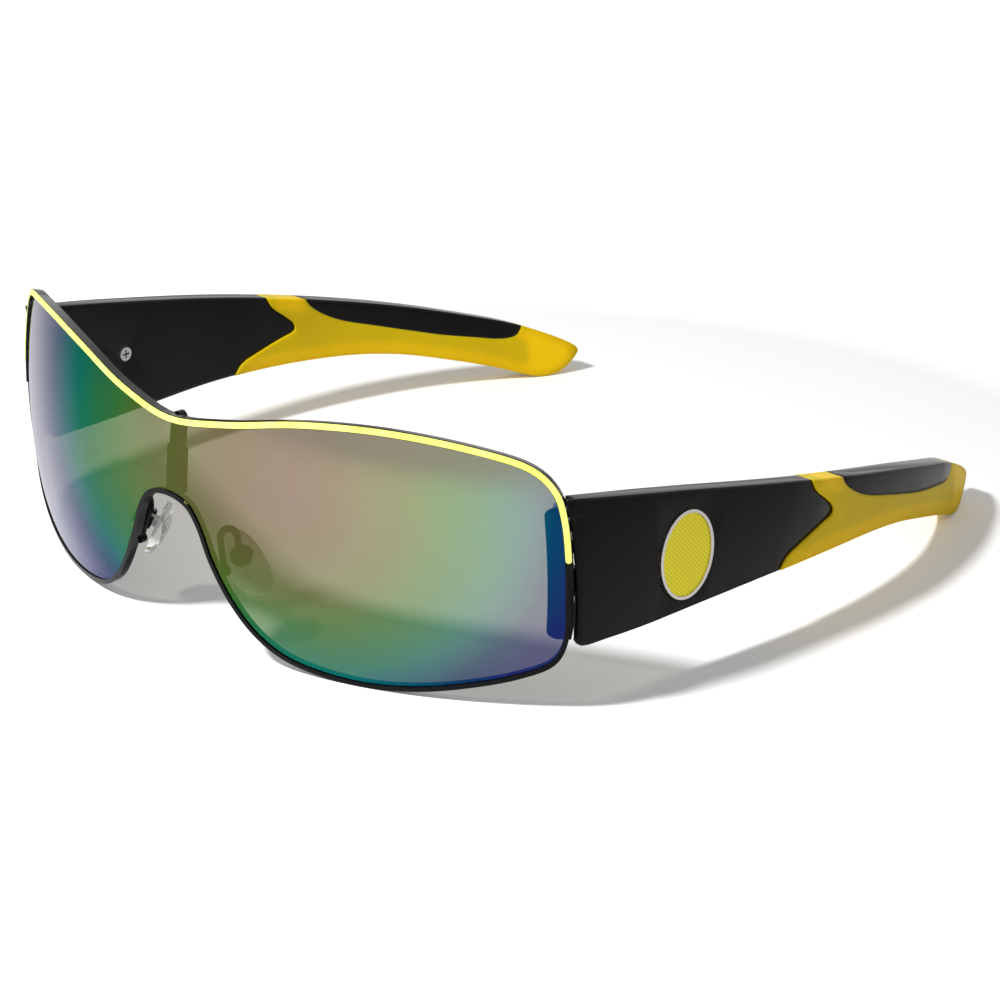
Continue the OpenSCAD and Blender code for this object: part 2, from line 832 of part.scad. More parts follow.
module nose_pad() {
  pad_place() difference() {
    intersection() {
      side_view(-pad_back - pad_t, -pad_back)
        polygon([for (k = [0:pad_steps - 1])
          let (a = 360 * k / pad_steps)
          [pad_w / 2 * swell(cos(a)), pad_len / 2 * swell(sin(a)) - pad_low]]);
      translate([pad_len - pad_back - pad_t, 0, -pad_low]) sphere(pad_len, $fn = sphere_fn);
    }
    translate([-pad_back - insert_t, 0, 0]) rotate([0, 90, 0]) cylinder(r = insert_r, h = insert_t + over);
  }
}

module nose_pad_insert() {
  pad_place() difference() {
    union() {
      translate([-pad_back - insert_t, 0, 0]) rotate([0, 90, 0]) cylinder(r = insert_r, h = insert_t);
      translate([-pad_back, -lug_half_t, -lug_r]) cube([pad_back, 2 * lug_half_t, 2 * lug_r]);
      translate([0, lug_half_t, 0]) rotate([90, 0, 0]) cylinder(r = lug_r, h = 2 * lug_half_t);
    }
    translate([0, over, 0]) rotate([90, 0, 0]) cylinder(r = pad_screw_r + run_gap, h = 2 * over);
  }
}

module nose_pad_screw() {
  pad_place() difference() {
    union() {
      translate([0, pad_head_seat, 0]) rotate([90, 0, 0])
        cylinder(r = pad_screw_r, h = 2 * pad_head_seat);
      translate([0, pad_head_seat + pad_head_h, 0]) rotate([90, 0, 0])
        cylinder(r = pad_head_r, h = pad_head_h);
    }
    translate([-over, pad_head_seat + pad_head_h - screw_slot_d / 2, -screw_slot_w / 2])
      cube([2 * over, over, screw_slot_w]);
  }
}

// The pad arm: a wire bent up and over, from a foot on the rim's back to the pad box
foot_z = -10;
foot_r = 1;
foot_len = 1.1;
foot_w = low_rim_w / 2;
foot_dirs = [for (d = ring_out(foot_w)) if (d.x > 0 && d.x * lens_r < lens_half_w / 2 && d.z < 0) d];
foot_x = lookup(foot_z, [for (d = foot_dirs) [d.z, d.x] * lens_r]);
foot_dir = sphere_dir(foot_x, foot_z);
leg_from = sphere_centre + foot_dir * (back_r - foot_len / 2);
function turn_x(v, a) = [v.x, v.y * cos(a) - v.z * sin(a), v.y * sin(a) + v.z * cos(a)];
function turn_y(v, a) = [v.x * cos(a) + v.z * sin(a), v.y, v.z * cos(a) - v.x * sin(a)];
function turn_z(v, a) = [v.x * cos(a) - v.y * sin(a), v.x * sin(a) + v.y * cos(a), v.z];
function pad_dir(v) = turn_z(turn_x(turn_y(v, -pad_flare), pad_lean), -pad_splay);
leg_to = pivot + pad_dir([slot_end + wire_r + run_gap, 0, box_r / 2]);
// The wire's two straight legs point along the same direction, and half a ring joins them
hook_leg = 5.2;
hook_thick_share = 1.06;
hook_dir = unit([-0.32, 0.13, 1]);
leg_step = (leg_to - leg_from) * hook_dir;
hook_side = leg_to - leg_from - hook_dir * leg_step;
hook_r = norm(hook_side) / 2;
side_dir = unit(hook_side);
turn_dir = cross(side_dir, hook_dir);
hook_centre = leg_from + hook_dir * hook_leg + side_dir * hook_r;

module wire() {
  translate(leg_from) pointing(hook_dir) cylinder(r = wire_r, h = hook_leg);
  translate(leg_to) pointing(hook_dir) cylinder(r = wire_r, h = hook_leg - leg_step);
  multmatrix([
    [side_dir.x, hook_dir.x, turn_dir.x, hook_centre.x],
    [side_dir.y, hook_dir.y, turn_dir.y, hook_centre.y],
    [side_dir.z, hook_dir.z, turn_dir.z, hook_centre.z]
  ])
    rotate_extrude(angle = 180) translate([hook_r, 0]) circle(r = hook_thick_share * wire_r);
}

module pad_box() {
  pad_place() difference() {
    translate([-box_front, 0, 0]) rotate([0, 90, 0]) cylinder(r = box_r, h = box_front + box_back);
    translate([-box_front - over, -slot_half_w, -box_r - over])
      cube([over + box_front + slot_end, 2 * slot_half_w, 2 * box_r + 2 * over]);
    translate([0, pad_head_seat + over, 0]) rotate([90, 0, 0])
      cylinder(r = pad_head_r + run_gap, h = over);
    translate([0, over, 0]) rotate([90, 0, 0]) cylinder(r = pad_screw_r + seat_gap, h = 2 * over);
  }
}

module nose_pad_arm() {
  intersection() {
    translate(sphere_centre) pointing(foot_dir) translate([0, 0, back_r - foot_len])
      cylinder(r = foot_r, h = foot_len + over);
    ball(back_r);
  }
  wire();
  pad_box();
}

// The origin is on the floor, below the middle of the whole object, from the lower rim's face over
// the nose to the temples' tips
mid_y = (tip_y - low_rim_front) / 2;

module placed() {
  translate([0, -mid_y, 0]) children();
}

module mirrored() {
  mirror([1, 0, 0]) children();
}

module lens() {
  color([0.55, 0.6, 0.5, 0.8]) placed() lens_solid();
}

module rim_upper() {
  color([0.1, 0.1, 0.11]) placed() difference() {
    intersection() {
      rim_band(rim_w, front_r);
      above_joint();
    }
    stripe();
  }
}

module rim_lower() {
  color([0.1, 0.1, 0.11]) placed() intersection() {
    rim_band(low_rim_w, low_front_r);
    below_joint();
  }
}

module rim_stripe() {
  color([0.93, 1, 0.5]) placed() stripe();
}

module bridge_strut() {
  color([0.1, 0.1, 0.11]) placed() strut();
}

module end_piece_right() {
  color([0.12, 0.12, 0.13]) placed() end_piece();
}

module end_piece_left() {
  mirrored() end_piece_right();
}

module lock_plate_right() {
  color([0.12, 0.12, 0.13]) placed() lock_plate();
}

module lock_plate_left() {
  mirrored() lock_plate_right();
}

module rim_lock_screws() {
  color([0.7, 0.7, 0.72]) placed() {
    lock_screw();
    mirrored() lock_screw();
  }
}

module hinge_screw_right() {
  color([0.7, 0.7, 0.72]) placed() hinge_screw();
}

module hinge_screw_left() {
  mirrored() hinge_screw_right();
}

module nose_pad_arm_right() {
  color([0.1, 0.1, 0.11]) placed() nose_pad_arm();
}

module nose_pad_arm_left() {
  mirrored() nose_pad_arm_right();
}

module nose_pad_screws() {
  color([0.7, 0.7, 0.72]) placed() {
    nose_pad_screw();
    mirrored() nose_pad_screw();
  }
}

module nose_pad_insert_right() {
  color([0.6, 0.6, 0.6]) placed() nose_pad_insert();
}

module nose_pad_insert_left() {
  mirrored() nose_pad_insert_right();
}

module nose_pad_right() {
  color([0.9, 0.92, 0.92, 0.6]) placed() nose_pad();
}

module nose_pad_left() {
  mirrored() nose_pad_right();
}

module hinge_leaf_right() {
  color([0.5, 0.5, 0.52]) placed() hinge_leaf();
}

module hinge_leaf_left() {
  mirrored() hinge_leaf_right();
}

module temple_arm_right() {
  color([0.11, 0.11, 0.12]) placed() temple_arm();
}

module temple_arm_left() {
  mirrored() temple_arm_right();
}

module ear_sleeve_right() {
  color([0.9, 0.75, 0.1]) placed() ear_sleeve();
}

module ear_sleeve_left() {
  mirrored() ear_sleeve_right();
}

module badge_frame_right() {
  color([0.78, 0.75, 0.73]) placed() badge_frame();
}

module badge_frame_left() {
  mirrored() badge_frame_right();
}

module badge_field_right() {
  color([0.86, 0.8, 0.16]) placed() badge_field();
}

module badge_field_left() {
  mirrored() badge_field_right();
}

module temple_screw_right() {
  color([0.75, 0.75, 0.77]) placed() temple_screw();
}

module temple_screw_left() {
  mirrored() temple_screw_right();
}

lens();
rim_upper();
rim_lower();
rim_stripe();
bridge_strut();
end_piece_right();
end_piece_left();
lock_plate_right();
lock_plate_left();
rim_lock_screws();
hinge_screw_right();
hinge_screw_left();
nose_pad_arm_right();
nose_pad_arm_left();
nose_pad_screws();
nose_pad_insert_right();
nose_pad_insert_left();
nose_pad_right();
nose_pad_left();
hinge_leaf_right();
hinge_leaf_left();
temple_arm_right();
temple_arm_left();
ear_sleeve_right();
ear_sleeve_left();
badge_frame_right();
badge_frame_left();
badge_field_right();
badge_field_left();
temple_screw_right();
temple_screw_left();
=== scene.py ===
"""Shield sunglasses on a white table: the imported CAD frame, dressed with finishes and rounded edges."""
import json
import math

import bpy
from mathutils import Matrix, Vector


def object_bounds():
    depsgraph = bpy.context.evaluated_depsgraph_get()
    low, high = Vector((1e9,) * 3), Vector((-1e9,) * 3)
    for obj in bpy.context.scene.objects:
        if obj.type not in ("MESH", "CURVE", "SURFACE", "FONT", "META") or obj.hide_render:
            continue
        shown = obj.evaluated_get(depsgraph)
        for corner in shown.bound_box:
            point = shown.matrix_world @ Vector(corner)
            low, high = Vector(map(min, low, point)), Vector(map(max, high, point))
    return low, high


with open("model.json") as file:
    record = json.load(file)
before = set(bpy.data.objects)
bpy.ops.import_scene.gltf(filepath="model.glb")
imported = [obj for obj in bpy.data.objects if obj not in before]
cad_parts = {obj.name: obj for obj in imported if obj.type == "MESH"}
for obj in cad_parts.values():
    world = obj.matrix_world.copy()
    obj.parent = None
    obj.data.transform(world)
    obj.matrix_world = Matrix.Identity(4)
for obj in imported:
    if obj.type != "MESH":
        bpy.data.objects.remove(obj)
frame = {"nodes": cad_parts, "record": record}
cad_low, cad_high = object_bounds()
nodes = frame["nodes"]
scene = bpy.context.scene

MM = 0.001

# The mirror's colours lie in rings round the middle of the amber. The rings' widths are given towards the
# nose, the outer end and the lower rim, and their wander and the places of the colours in rings
AMBER_X, AMBER_Z = 26 * MM, 30 * MM
RING_NOSE, RING_END, RING_DOWN = 37.5 * MM, 22 * MM, 19 * MM
RINGS = 2.8
RING_WANDER = 0.06
COATING = [
    (0.0, "#594138"), (0.35, "#55482B"), (0.6, "#52552C"), (0.8, "#4A5924"), (0.95, "#416329"),
    (1.1, "#2E6833"), (1.3, "#1F6B49"), (1.45, "#0F6D5C"), (1.58, "#0C6369"), (1.75, "#083E63"),
    (1.95, "#1C2766"), (2.2, "#1C3966"), (2.6, "#1A4C68")]

# The badge's crossed lines. A wave node has about 20 / (2 pi) bands a unit at scale 1
HATCH_PITCH = 0.55 * MM
HATCH_SCALE = 2 * math.pi / (20 * HATCH_PITCH)
HATCH_LEAN = math.radians(45)

# How far a piece's edges are rounded, and in how many steps. The other pieces keep the edges of the CAD
ROUNDED = {
    "temple_arm": (0.35 * MM, 3),
    "ear_sleeve": (0.8 * MM, 5),
    "badge_frame": (0.12 * MM, 3),
    "nose_pad": (0.5 * MM, 3),
}
# Points this near each other are one point, and faces this flat to each other are one face. Edges sharper
# than the third value are rounded, and those sharper than the last one are shaded as corners
SAME_POINT = 0.002 * MM
FLAT_ANGLE = math.radians(0.4)
ROUNDED_ANGLE = math.radians(35)
CORNER_ANGLE = math.radians(32)

# The table glows a little under the glasses, and turns plain white between two distances from the middle
TABLE_SIZE = 12.0
TABLE_GLOW = 0.09
GREY_TO, WHITE_FROM = 125 * MM, 200 * MM

# The share of the white sky's light that reaches surfaces that don't mirror it
SKY_FILL = 0.35

# The lamp stands in front of the lens, and high
LAMP_PLACE = Vector((-0.018, -0.331, 0.38))
LAMP_AIM = Vector((0, 0, 0.01))
LAMP_WIDTH = 60 * MM
LAMP_WATTS = 2.7

# The camera is fitted to the photograph. Its sensor and lens are in millimetres, as Blender takes them
CAMERA_PLACE = Vector((418.9, -428.64, 234.86)) * MM
CAMERA_RIGHT = Vector((0.714, 0.700, 0.015))
CAMERA_BACK = Vector((0.650, -0.671, 0.358))
SENSOR_WIDTH, FOCAL_LENGTH = 36, 129.62
CLIP_NEAR, CLIP_FAR = 0.01, 50


def linear(code):
    """The linear colour of an sRGB hex code."""
    parts = [int(code[i:i + 2], 16) / 255 for i in (1, 3, 5)]
    return tuple(p / 12.92 if p <= 0.04045 else ((p + 0.055) / 1.055) ** 2.4 for p in parts) + (1.0,)


def add(tree, kind, inputs=None, **settings):
    """Adds a node with its settings, and with a value or a link for each named input."""
    made = tree.nodes.new(kind)
    for name, value in settings.items():
        setattr(made, name, value)
    for name, value in (inputs or {}).items():
        if isinstance(value, bpy.types.NodeSocket):
            tree.links.new(value, made.inputs[name])
        else:
            made.inputs[name].default_value = value
    return made


def new_material(name):
    """A material, its node tree, and the place on the piece, which its patterns use."""
    material = bpy.data.materials.new(name)
    material.use_nodes = True
    tree = material.node_tree
    tree.nodes.clear()
    return material, tree, add(tree, "ShaderNodeTexCoord").outputs["Object"]


def set_stops(ramp_node, stops):
    """Gives a colour ramp its stops, as (place, sRGB hex)."""
    ramp = ramp_node.color_ramp
    while len(ramp.elements) > 1:
        ramp.elements.remove(ramp.elements[-1])
    for i, (place, code) in enumerate(stops):
        stop = ramp.elements[0] if i == 0 else ramp.elements.new(place)
        stop.position = place
        stop.color = linear(code)


# Finishes

def mirrored_polycarbonate():
    """Brown-grey polycarbonate, injection moulded, with a vacuum-deposited mirror of many thin layers.

    The layers' thickness runs outward from the middle of the wearer's left eye, so the mirror turns
    from amber by green and teal to blue and violet. Seen at a slant it washes out to a pale lilac and
    shuts, and seen straight on it lets about a fifth of the light through.
    """
    material, tree, place = new_material("mirrored_polycarbonate")
    axes = add(tree, "ShaderNodeSeparateXYZ", {0: place})
    toward_nose = add(tree, "ShaderNodeMapRange", {
        "Value": axes.outputs["X"], "From Min": AMBER_X, "From Max": AMBER_X - RING_NOSE * RINGS,
        "To Min": 0.0, "To Max": RINGS})
    toward_end = add(tree, "ShaderNodeMapRange", {
        "Value": axes.outputs["X"], "From Min": AMBER_X, "From Max": AMBER_X + RING_END * RINGS,
        "To Min": 0.0, "To Max": RINGS})
    across = add(tree, "ShaderNodeMath", {
        0: toward_nose.outputs["Result"], 1: toward_end.outputs["Result"]}, operation="ADD")
    down = add(tree, "ShaderNodeMapRange", {
        "Value": axes.outputs["Z"], "From Min": AMBER_Z, "From Max": AMBER_Z - RING_DOWN * RINGS,
        "To Min": 0.0, "To Max": RINGS})
    both = add(tree, "ShaderNodeCombineXYZ", {"X": across.outputs[0], "Y": down.outputs["Result"]})
    ring = add(tree, "ShaderNodeVectorMath", {0: both.outputs[0]}, operation="LENGTH")
    mottle = add(tree, "ShaderNodeTexNoise", {"Vector": place, "Scale": 1 / (7 * MM), "Detail": 3.0})
    wander = add(tree, "ShaderNodeMapRange", {
        "Value": mottle.outputs["Fac"], "To Min": -RING_WANDER, "To Max": RING_WANDER})
    ring_place = add(tree, "ShaderNodeMath", {
        0: ring.outputs["Value"], 1: wander.outputs["Result"]}, operation="ADD")
    share = add(tree, "ShaderNodeMath", {0: ring_place.outputs[0], 1: RINGS}, operation="DIVIDE")
    colour = add(tree, "ShaderNodeValToRGB", {"Fac": share.outputs[0]})
    set_stops(colour, [(at / RINGS, code) for at, code in COATING])
    slant = add(tree, "ShaderNodeLayerWeight", {"Blend": 0.5}).outputs["Facing"]
    washed = add(tree, "ShaderNodeMapRange", {
        "Value": slant, "From Min": 0.58, "From Max": 1.0, "To Min": 0.0, "To Max": 1.0},
        interpolation_type="SMOOTHSTEP")
    glare = add(tree, "ShaderNodeMix", {
        "Factor": washed.outputs["Result"], 6: colour.outputs["Color"], 7: linear("#D8D6DE")},
        data_type="RGBA")
    mirror = add(tree, "ShaderNodeBsdfAnisotropic", {
        "Color": glare.outputs[2], "Roughness": 0.05})
    clear = add(tree, "ShaderNodeBsdfTransparent", {"Color": linear("#888174")})
    shut = add(tree, "ShaderNodeBsdfTransparent", {"Color": (0.0, 0.0, 0.0, 1.0)})
    tint = add(tree, "ShaderNodeMixShader", {0: slant, 1: clear.outputs[0], 2: shut.outputs[0]})
    skin = add(tree, "ShaderNodeAddShader", {0: tint.outputs[0], 1: mirror.outputs[0]})
    through = add(tree, "ShaderNodeBsdfTransparent")
    inside = add(tree, "ShaderNodeNewGeometry").outputs["Backfacing"]
    body = add(tree, "ShaderNodeMixShader", {0: inside, 1: skin.outputs[0], 2: through.outputs[0]})
    add(tree, "ShaderNodeOutputMaterial", {"Surface": body.outputs[0]})
    return material


def black_lacquer():
    """Gloss black lacquer, sprayed and baked on drawn steel wire, with a faint orange peel."""
    material, tree, place = new_material("black_lacquer")
    peel = add(tree, "ShaderNodeTexNoise", {"Vector": place, "Scale": 1 / (0.9 * MM), "Detail": 3.0})
    bump = add(tree, "ShaderNodeBump", {
        "Height": peel.outputs["Fac"], "Strength": 0.12, "Distance": 0.02 * MM})
    wear = add(tree, "ShaderNodeMapRange", {
        "Value": peel.outputs["Fac"], "To Min": 0.08, "To Max": 0.14})
    skin = add(tree, "ShaderNodeBsdfPrincipled", {
        "Base Color": linear("#0A0A0B"), "Roughness": wear.outputs["Result"], "IOR": 1.5,
        "Specular IOR Level": 0.12, "Normal": bump.outputs["Normal"]})
    add(tree, "ShaderNodeOutputMaterial", {"Surface": skin.outputs[0]})
    return material


def gloss_black_plastic():
    """Nylon, injection moulded in a polished tool: a deep gloss with a long faint waviness."""
    material, tree, place = new_material("gloss_black_plastic")
    flow = add(tree, "ShaderNodeTexNoise", {"Vector": place, "Scale": 1 / (14 * MM), "Detail": 2.0})
    edge = add(tree, "ShaderNodeBevel", {"Radius": 0.9 * MM}, samples=8)
    bump = add(tree, "ShaderNodeBump", {
        "Height": flow.outputs["Fac"], "Strength": 0.25, "Distance": 0.08 * MM,
        "Normal": edge.outputs[0]})
    haze = add(tree, "ShaderNodeMapRange", {
        "Value": flow.outputs["Fac"], "To Min": 0.07, "To Max": 0.15})
    skin = add(tree, "ShaderNodeBsdfPrincipled", {
        "Base Color": linear("#050506"), "Roughness": haze.outputs["Result"], "IOR": 1.5,
        "Specular IOR Level": 0.12, "Normal": bump.outputs["Normal"]})
    add(tree, "ShaderNodeOutputMaterial", {"Surface": skin.outputs[0]})
    return material


def yellow_rubber():
    """Soft rubber, moulded in a fine-blasted tool: satin, with painted light: a little olive where it is
    thin over the black temple, and a painted glow of bright yellow, as of light shining through it, where
    it is thick. The blast is drawn coarser than it is, to show."""
    material, tree, place = new_material("yellow_rubber")
    pigment = add(tree, "ShaderNodeTexNoise", {"Vector": place, "Scale": 1 / (11 * MM), "Detail": 3.0})
    shade = add(tree, "ShaderNodeValToRGB", {"Fac": pigment.outputs["Fac"]})
    set_stops(shade, [(0.3, "#D2B200"), (0.7, "#DCBE00")])
    # Painted glow: where the inside occlusion finds thick rubber, the colour turns to a bright yellow, as
    # of light shining through it
    depth = add(tree, "ShaderNodeAmbientOcclusion", {"Distance": 2.4 * MM}, samples=8, inside=True,
                only_local=True)
    painted_glow = add(tree, "ShaderNodeMapRange", {
        "Value": depth.outputs["AO"], "From Min": 0.4, "From Max": 0.9, "To Min": 0.0, "To Max": 1.0})
    pigment_and_painted_glow = add(tree, "ShaderNodeMix", {
        "Factor": painted_glow.outputs["Result"], 6: shade.outputs["Color"], 7: linear("#FFD000")},
        data_type="RGBA")
    blast = add(tree, "ShaderNodeTexNoise", {"Vector": place, "Scale": 1 / (0.35 * MM), "Detail": 4.0})
    edge = add(tree, "ShaderNodeBevel", {"Radius": 1.1 * MM}, samples=8)
    bump = add(tree, "ShaderNodeBump", {
        "Height": blast.outputs["Fac"], "Strength": 0.18, "Distance": 0.04 * MM,
        "Normal": edge.outputs[0]})
    rough = add(tree, "ShaderNodeMapRange", {
        "Value": blast.outputs["Fac"], "To Min": 0.38, "To Max": 0.52})
    skin = add(tree, "ShaderNodeBsdfPrincipled", {
        "Base Color": pigment_and_painted_glow.outputs[2], "Roughness": rough.outputs["Result"], "IOR": 1.52,
        "Specular IOR Level": 0.12, "Subsurface Weight": 0.9, "Subsurface Scale": 1.2 * MM,
        "Subsurface Radius": (1.0, 0.6, 0.1), "Normal": bump.outputs["Normal"]})
    add(tree, "ShaderNodeOutputMaterial", {"Surface": skin.outputs[0]})
    return material


def stripe_enamel():
    """Yellow-green enamel, filled into the front of the rim and polished, with a soft gloss."""
    material, tree, place = new_material("stripe_enamel")
    cloud = add(tree, "ShaderNodeTexNoise", {"Vector": place, "Scale": 1 / (3 * MM), "Detail": 2.0})
    shade = add(tree, "ShaderNodeValToRGB", {"Fac": cloud.outputs["Fac"]})
    set_stops(shade, [(0.3, "#F3FA6C"), (0.7, "#F9FE8C")])
    skin = add(tree, "ShaderNodeBsdfPrincipled", {
        "Base Color": shade.outputs["Color"], "Roughness": 0.3, "IOR": 1.52,
        "Specular IOR Level": 0.3})
    add(tree, "ShaderNodeOutputMaterial", {"Surface": skin.outputs[0]})
    return material


def badge_enamel():
    """Clear yellow enamel over a cross-hatched metal ground, so that the fine lines glint through."""
    material, tree, place = new_material("badge_enamel")
    heights = []
    for lean in (HATCH_LEAN, -HATCH_LEAN):
        turned = add(tree, "ShaderNodeMapping", {"Vector": place, "Rotation": (lean, 0, 0)})
        lines = add(tree, "ShaderNodeTexWave", {
            "Vector": turned.outputs[0], "Scale": HATCH_SCALE}, bands_direction="Y")
        heights.append(lines.outputs["Fac"])
    hatch = add(tree, "ShaderNodeMath", {0: heights[0], 1: heights[1]}, operation="MULTIPLY")
    shade = add(tree, "ShaderNodeValToRGB", {"Fac": hatch.outputs[0]})
    set_stops(shade, [(0.05, "#D6C812"), (0.5, "#F2E41C"), (0.9, "#FFF43A")])
    bump = add(tree, "ShaderNodeBump", {
        "Height": hatch.outputs[0], "Strength": 0.6, "Distance": 0.05 * MM})
    skin = add(tree, "ShaderNodeBsdfPrincipled", {
        "Base Color": shade.outputs["Color"], "Metallic": 0.6, "Roughness": 0.35,
        "Coat Weight": 0.1, "Coat Roughness": 0.05, "Normal": bump.outputs["Normal"]})
    add(tree, "ShaderNodeOutputMaterial", {"Surface": skin.outputs[0]})
    return material


def plated_zinc():
    """Zinc, die cast, tumbled and nickel plated: a soft bright silver."""
    material, tree, place = new_material("plated_zinc")
    tumble = add(tree, "ShaderNodeTexNoise", {"Vector": place, "Scale": 1 / (0.7 * MM), "Detail": 4.0})
    rough = add(tree, "ShaderNodeMapRange", {
        "Value": tumble.outputs["Fac"], "To Min": 0.18, "To Max": 0.34})
    bump = add(tree, "ShaderNodeBump", {
        "Height": tumble.outputs["Fac"], "Strength": 0.15, "Distance": 0.03 * MM})
    skin = add(tree, "ShaderNodeBsdfPrincipled", {
        "Base Color": linear("#CFC9C4"), "Metallic": 1.0, "Roughness": rough.outputs["Result"],
        "Normal": bump.outputs["Normal"]})
    add(tree, "ShaderNodeOutputMaterial", {"Surface": skin.outputs[0]})
    return material


def nickel_steel():
    """Steel, turned and nickel plated: bright, uneven from the tool's marks, with painted shade down in
    its slots.
    The marks are drawn as blotches, coarser than they are, to show."""
    material, tree, place = new_material("nickel_steel")
    marks = add(tree, "ShaderNodeTexNoise", {"Vector": place, "Scale": 1 / (0.2 * MM), "Detail": 2.0})
    rough = add(tree, "ShaderNodeMapRange", {
        "Value": marks.outputs["Fac"], "To Min": 0.12, "To Max": 0.28})
    # Painted shade: the occlusion darkens the colour down in the slots
    painted_slot_shade = add(tree, "ShaderNodeAmbientOcclusion", {"Distance": 0.5 * MM}, samples=8)
    shade = add(tree, "ShaderNodeValToRGB", {"Fac": painted_slot_shade.outputs["AO"]})
    set_stops(shade, [(0.45, "#1E1E20"), (0.8, "#77777B"), (1.0, "#A6A6AA")])
    skin = add(tree, "ShaderNodeBsdfPrincipled", {
        "Base Color": shade.outputs["Color"], "Metallic": 1.0, "Roughness": rough.outputs["Result"]})
    add(tree, "ShaderNodeOutputMaterial", {"Surface": skin.outputs[0]})
    return material


def clear_silicone():
    """Clear silicone, moulded with a satin skin: see-through, with a milky depth and soft highlights."""
    material, tree, place = new_material("clear_silicone")
    cloud = add(tree, "ShaderNodeTexNoise", {"Vector": place, "Scale": 1 / (4 * MM), "Detail": 2.0})
    rough = add(tree, "ShaderNodeMapRange", {
        "Value": cloud.outputs["Fac"], "To Min": 0.1, "To Max": 0.22})
    shade = add(tree, "ShaderNodeValToRGB", {"Fac": cloud.outputs["Fac"]})
    set_stops(shade, [(0.3, "#E4E6E4"), (0.7, "#F2F3F1")])
    skin = add(tree, "ShaderNodeBsdfPrincipled", {
        "Base Color": shade.outputs["Color"], "Roughness": rough.outputs["Result"], "IOR": 1.41,
        "Transmission Weight": 0.85})
    add(tree, "ShaderNodeOutputMaterial", {"Surface": skin.outputs[0]})
    return material


def pad_core_plastic():
    """Clear polycarbonate, moulded: the hard core inside the soft pad."""
    material, tree, place = new_material("pad_core_plastic")
    cloud = add(tree, "ShaderNodeTexNoise", {"Vector": place, "Scale": 1 / (2 * MM), "Detail": 2.0})
    shade = add(tree, "ShaderNodeValToRGB", {"Fac": cloud.outputs["Fac"]})
    set_stops(shade, [(0.3, "#B9BCBB"), (0.7, "#CDD0CE")])
    skin = add(tree, "ShaderNodeBsdfPrincipled", {
        "Base Color": shade.outputs["Color"], "Roughness": 0.25, "IOR": 1.58,
        "Transmission Weight": 0.4})
    add(tree, "ShaderNodeOutputMaterial", {"Surface": skin.outputs[0]})
    return material


FINISHES = {
    "mirrored_lens": mirrored_polycarbonate(),
    "black_metal": black_lacquer(),
    "black_plastic": gloss_black_plastic(),
    "yellow_rubber": yellow_rubber(),
    "yellow_enamel": stripe_enamel(),
    "badge_enamel": badge_enamel(),
    "silver_metal": plated_zinc(),
    "steel": nickel_steel(),
    "clear_silicone": clear_silicone(),
    "pad_core": pad_core_plastic(),
}
SLOT_OF = {part["node"]: part["material_slot"] for part in frame["record"]["subparts"]}
for name, obj in nodes.items():
    finish = FINISHES["badge_enamel" if name.startswith("badge_field") else SLOT_OF[name]]
    for slot in range(len(obj.data.materials)):
        obj.data.materials[slot] = finish


# Edges: the CAD meshes are joined up, their edges rounded, and their faces shaded smooth

def mesh_steps(name, build):
    """A geometry node group that runs build(tree, geometry) on a mesh."""
    group = bpy.data.node_groups.new(name, "GeometryNodeTree")
    group.interface.new_socket("Geometry", in_out="INPUT", socket_type="NodeSocketGeometry")
    group.interface.new_socket("Geometry", in_out="OUTPUT", socket_type="NodeSocketGeometry")
    start = add(group, "NodeGroupInput").outputs[0]
    add(group, "NodeGroupOutput", {0: build(group, start)})
    return group


def joined_up(tree, geometry):
    """Drops the normals that came with the mesh, and joins its doubled points."""
    plain = add(tree, "GeometryNodeRemoveAttribute", {"Geometry": geometry, "Name": "custom_normal"})
    return add(tree, "GeometryNodeMergeByDistance", {
        "Geometry": plain.outputs[0], "Distance": SAME_POINT}).outputs[0]


def smooth_but_corners(tree, geometry):
    """Shades the faces smooth, with a crease along each corner."""
    smooth = add(tree, "GeometryNodeSetShadeSmooth", {"Geometry": geometry, "Shade Smooth": True})
    angle = add(tree, "GeometryNodeInputMeshEdgeAngle").outputs["Unsigned Angle"]
    corner = add(tree, "FunctionNodeCompare", {0: angle, 1: CORNER_ANGLE},
                 data_type="FLOAT", operation="GREATER_THAN")
    return add(tree, "GeometryNodeSetShadeSmooth", {
        "Geometry": smooth.outputs[0], "Selection": corner.outputs[0], "Shade Smooth": False},
        domain="EDGE").outputs[0]


JOINED = mesh_steps("joined_up", joined_up)
SMOOTHED = mesh_steps("smooth_but_corners", smooth_but_corners)


def round_edges(obj, width, steps):
    """Rounds the edges of a CAD node's shown mesh by width, once its flat faces are whole."""
    merged = obj.modifiers.new("flat_faces", "DECIMATE")
    merged.decimate_type = "DISSOLVE"
    merged.angle_limit = FLAT_ANGLE
    bevel = obj.modifiers.new("round_edges", "BEVEL")
    bevel.width = width
    bevel.segments = steps
    bevel.limit_method = "ANGLE"
    bevel.angle_limit = ROUNDED_ANGLE
    bevel.use_clamp_overlap = True
    bevel.miter_outer = "MITER_ARC"


for name, obj in nodes.items():
    piece = name.removesuffix("_right").removesuffix("_left")
    obj.modifiers.new("joined", "NODES").node_group = JOINED
    if piece in ROUNDED:
        round_edges(obj, *ROUNDED[piece])
    obj.modifiers.new("smoothed", "NODES").node_group = SMOOTHED


# Floor, light and camera

